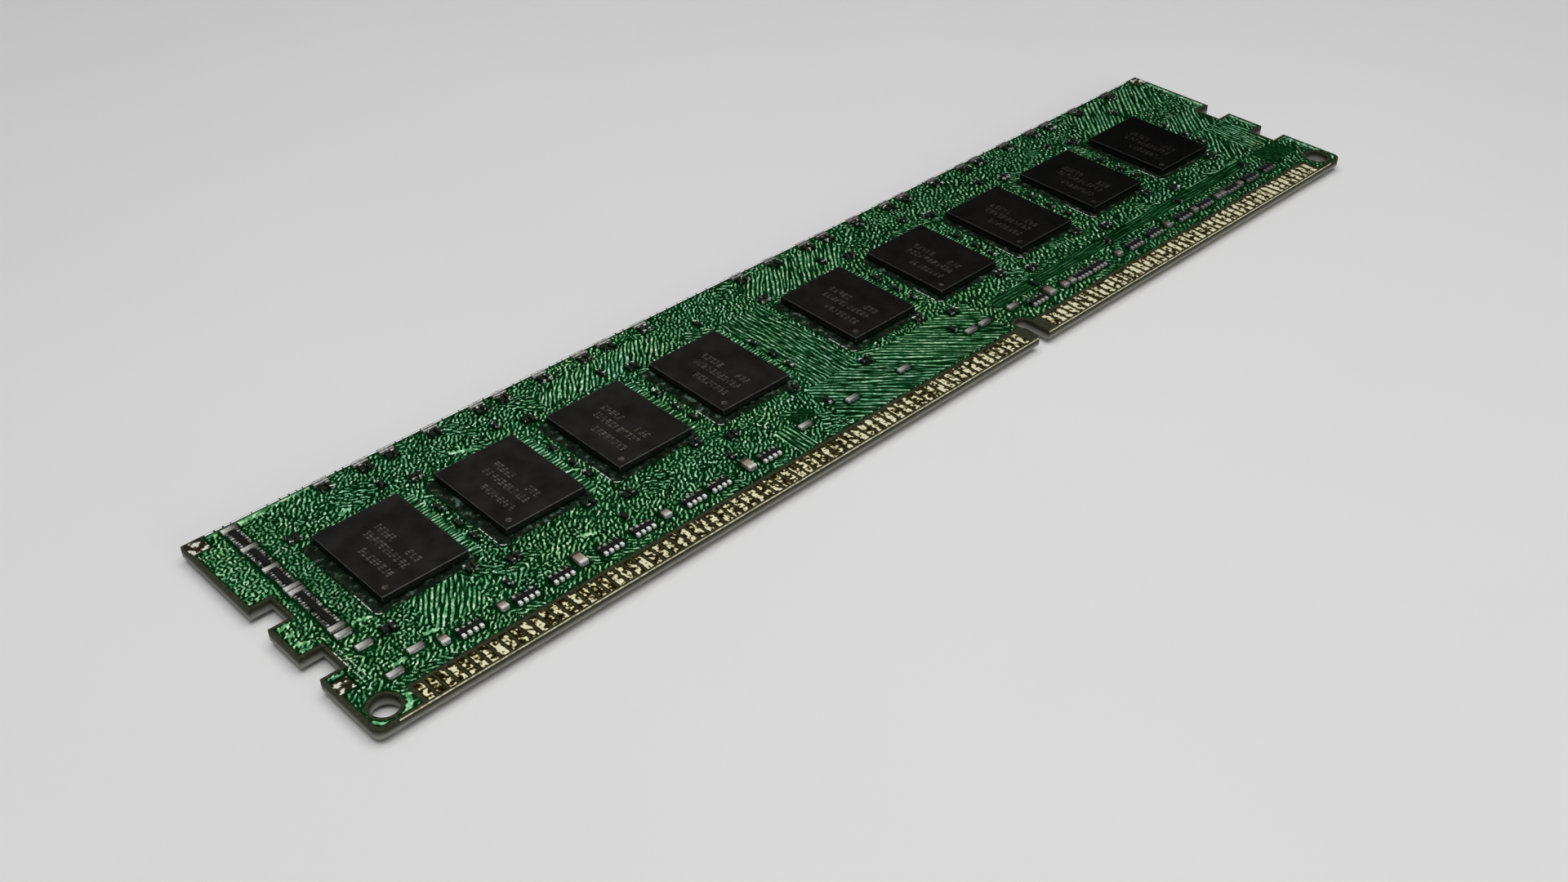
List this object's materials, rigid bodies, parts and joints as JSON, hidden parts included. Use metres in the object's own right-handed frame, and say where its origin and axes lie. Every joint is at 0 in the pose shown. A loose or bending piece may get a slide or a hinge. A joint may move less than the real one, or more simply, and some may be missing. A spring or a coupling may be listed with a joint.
{
  "type": "ram module",
  "caption": "Desktop memory module: a long green circuit board with black memory chips, small passives, edge notches and a row of gold contacts.",
  "frame": {"origin": "under the middle of the board, on the plane through the undersides of the eight tallest capacitors on the back, which the module rests on with its chip side up", "axes": "+X along the board from the contact-1 end to the far end, +Y across it from the gold contact edge to the top edge, +Z out of the chip side"},
  "size_m": [0.1334, 0.03, 0.0026],
  "materials": {
    "laminate": "bare glass-epoxy laminate, cut edges",
    "copper": "bare copper",
    "solder_mask": "thin semi-gloss green coating over raised tracks",
    "gold": "hard gold plating over nickel",
    "mold_compound": "fine matte moulded epoxy",
    "chip_substrate": "sawn laminate edge",
    "solder": "satin tin-alloy solder",
    "tin_plate": "matte tin plating",
    "silicon": "ground silicon",
    "resistor_glaze": "black overglaze on alumina",
    "brown_ceramic": "fired brown ceramic",
    "tan_ceramic": "fired tan ceramic",
    "grey_ceramic": "fired pale grey ceramic",
    "dark_ceramic": "fired dark grey ceramic",
    "label": "blank matte label stock"
  },
  "bodies": {
    "root": {"back_capacitor_bodies": "tan_ceramic", "back_capacitor_terminals": "tin_plate", "back_label": "label", "bar_capacitor_bodies": "grey_ceramic", "bar_capacitor_terminals": "tin_plate", "bulk_capacitor_bodies": "tan_ceramic", "bulk_capacitor_terminals": "tin_plate", "contacts_back_long": "gold", "contacts_back_short": "gold", "contacts_front_long": "gold", "contacts_front_short": "gold", "core_contact_strips": "laminate", "core_laminate": "laminate", "core_tabs_far_end": "laminate", "core_tabs_near_end": "laminate", "corner_pads": "gold", "decoupling_capacitor_bodies": "brown_ceramic", "decoupling_capacitor_terminals": "tin_plate", "dram_balls_1": "solder", "dram_balls_2": "solder", "dram_balls_3": "solder", "dram_balls_4": "solder", "dram_balls_5": "solder", "dram_balls_6": "solder", "dram_balls_7": "solder", "dram_balls_8": "solder", "dram_balls_9": "solder", "dram_dies": "silicon", "dram_mold_1": "mold_compound", "dram_mold_2": "mold_compound", "dram_mold_3": "mold_compound", "dram_mold_4": "mold_compound", "dram_mold_5": "mold_compound", "dram_mold_6": "mold_compound", "dram_mold_7": "mold_compound", "dram_mold_8": "mold_compound", "dram_mold_9": "mold_compound", "dram_substrate_1": "chip_substrate", "dram_substrate_2": "chip_substrate", "dram_substrate_3": "chip_substrate", "dram_substrate_4": "chip_substrate", "dram_substrate_5": "chip_substrate", "dram_substrate_6": "chip_substrate", "dram_substrate_7": "chip_substrate", "dram_substrate_8": "chip_substrate", "dram_substrate_9": "chip_substrate", "edge_capacitor_bodies": "dark_ceramic", "edge_capacitor_terminals": "tin_plate", "ground_plane": "copper", "power_plane": "copper", "prepreg_back": "laminate", "prepreg_front": "laminate", "resistor_array_bodies": "resistor_glaze", "resistor_array_terminals": "tin_plate", "serial_chip_body": "mold_compound", "serial_chip_pads": "tin_plate", "solder_joints": "solder", "solder_mask_back": "solder_mask", "solder_mask_front": "solder_mask", "via_barrels": "copper"}
  },
  "joints": []
}
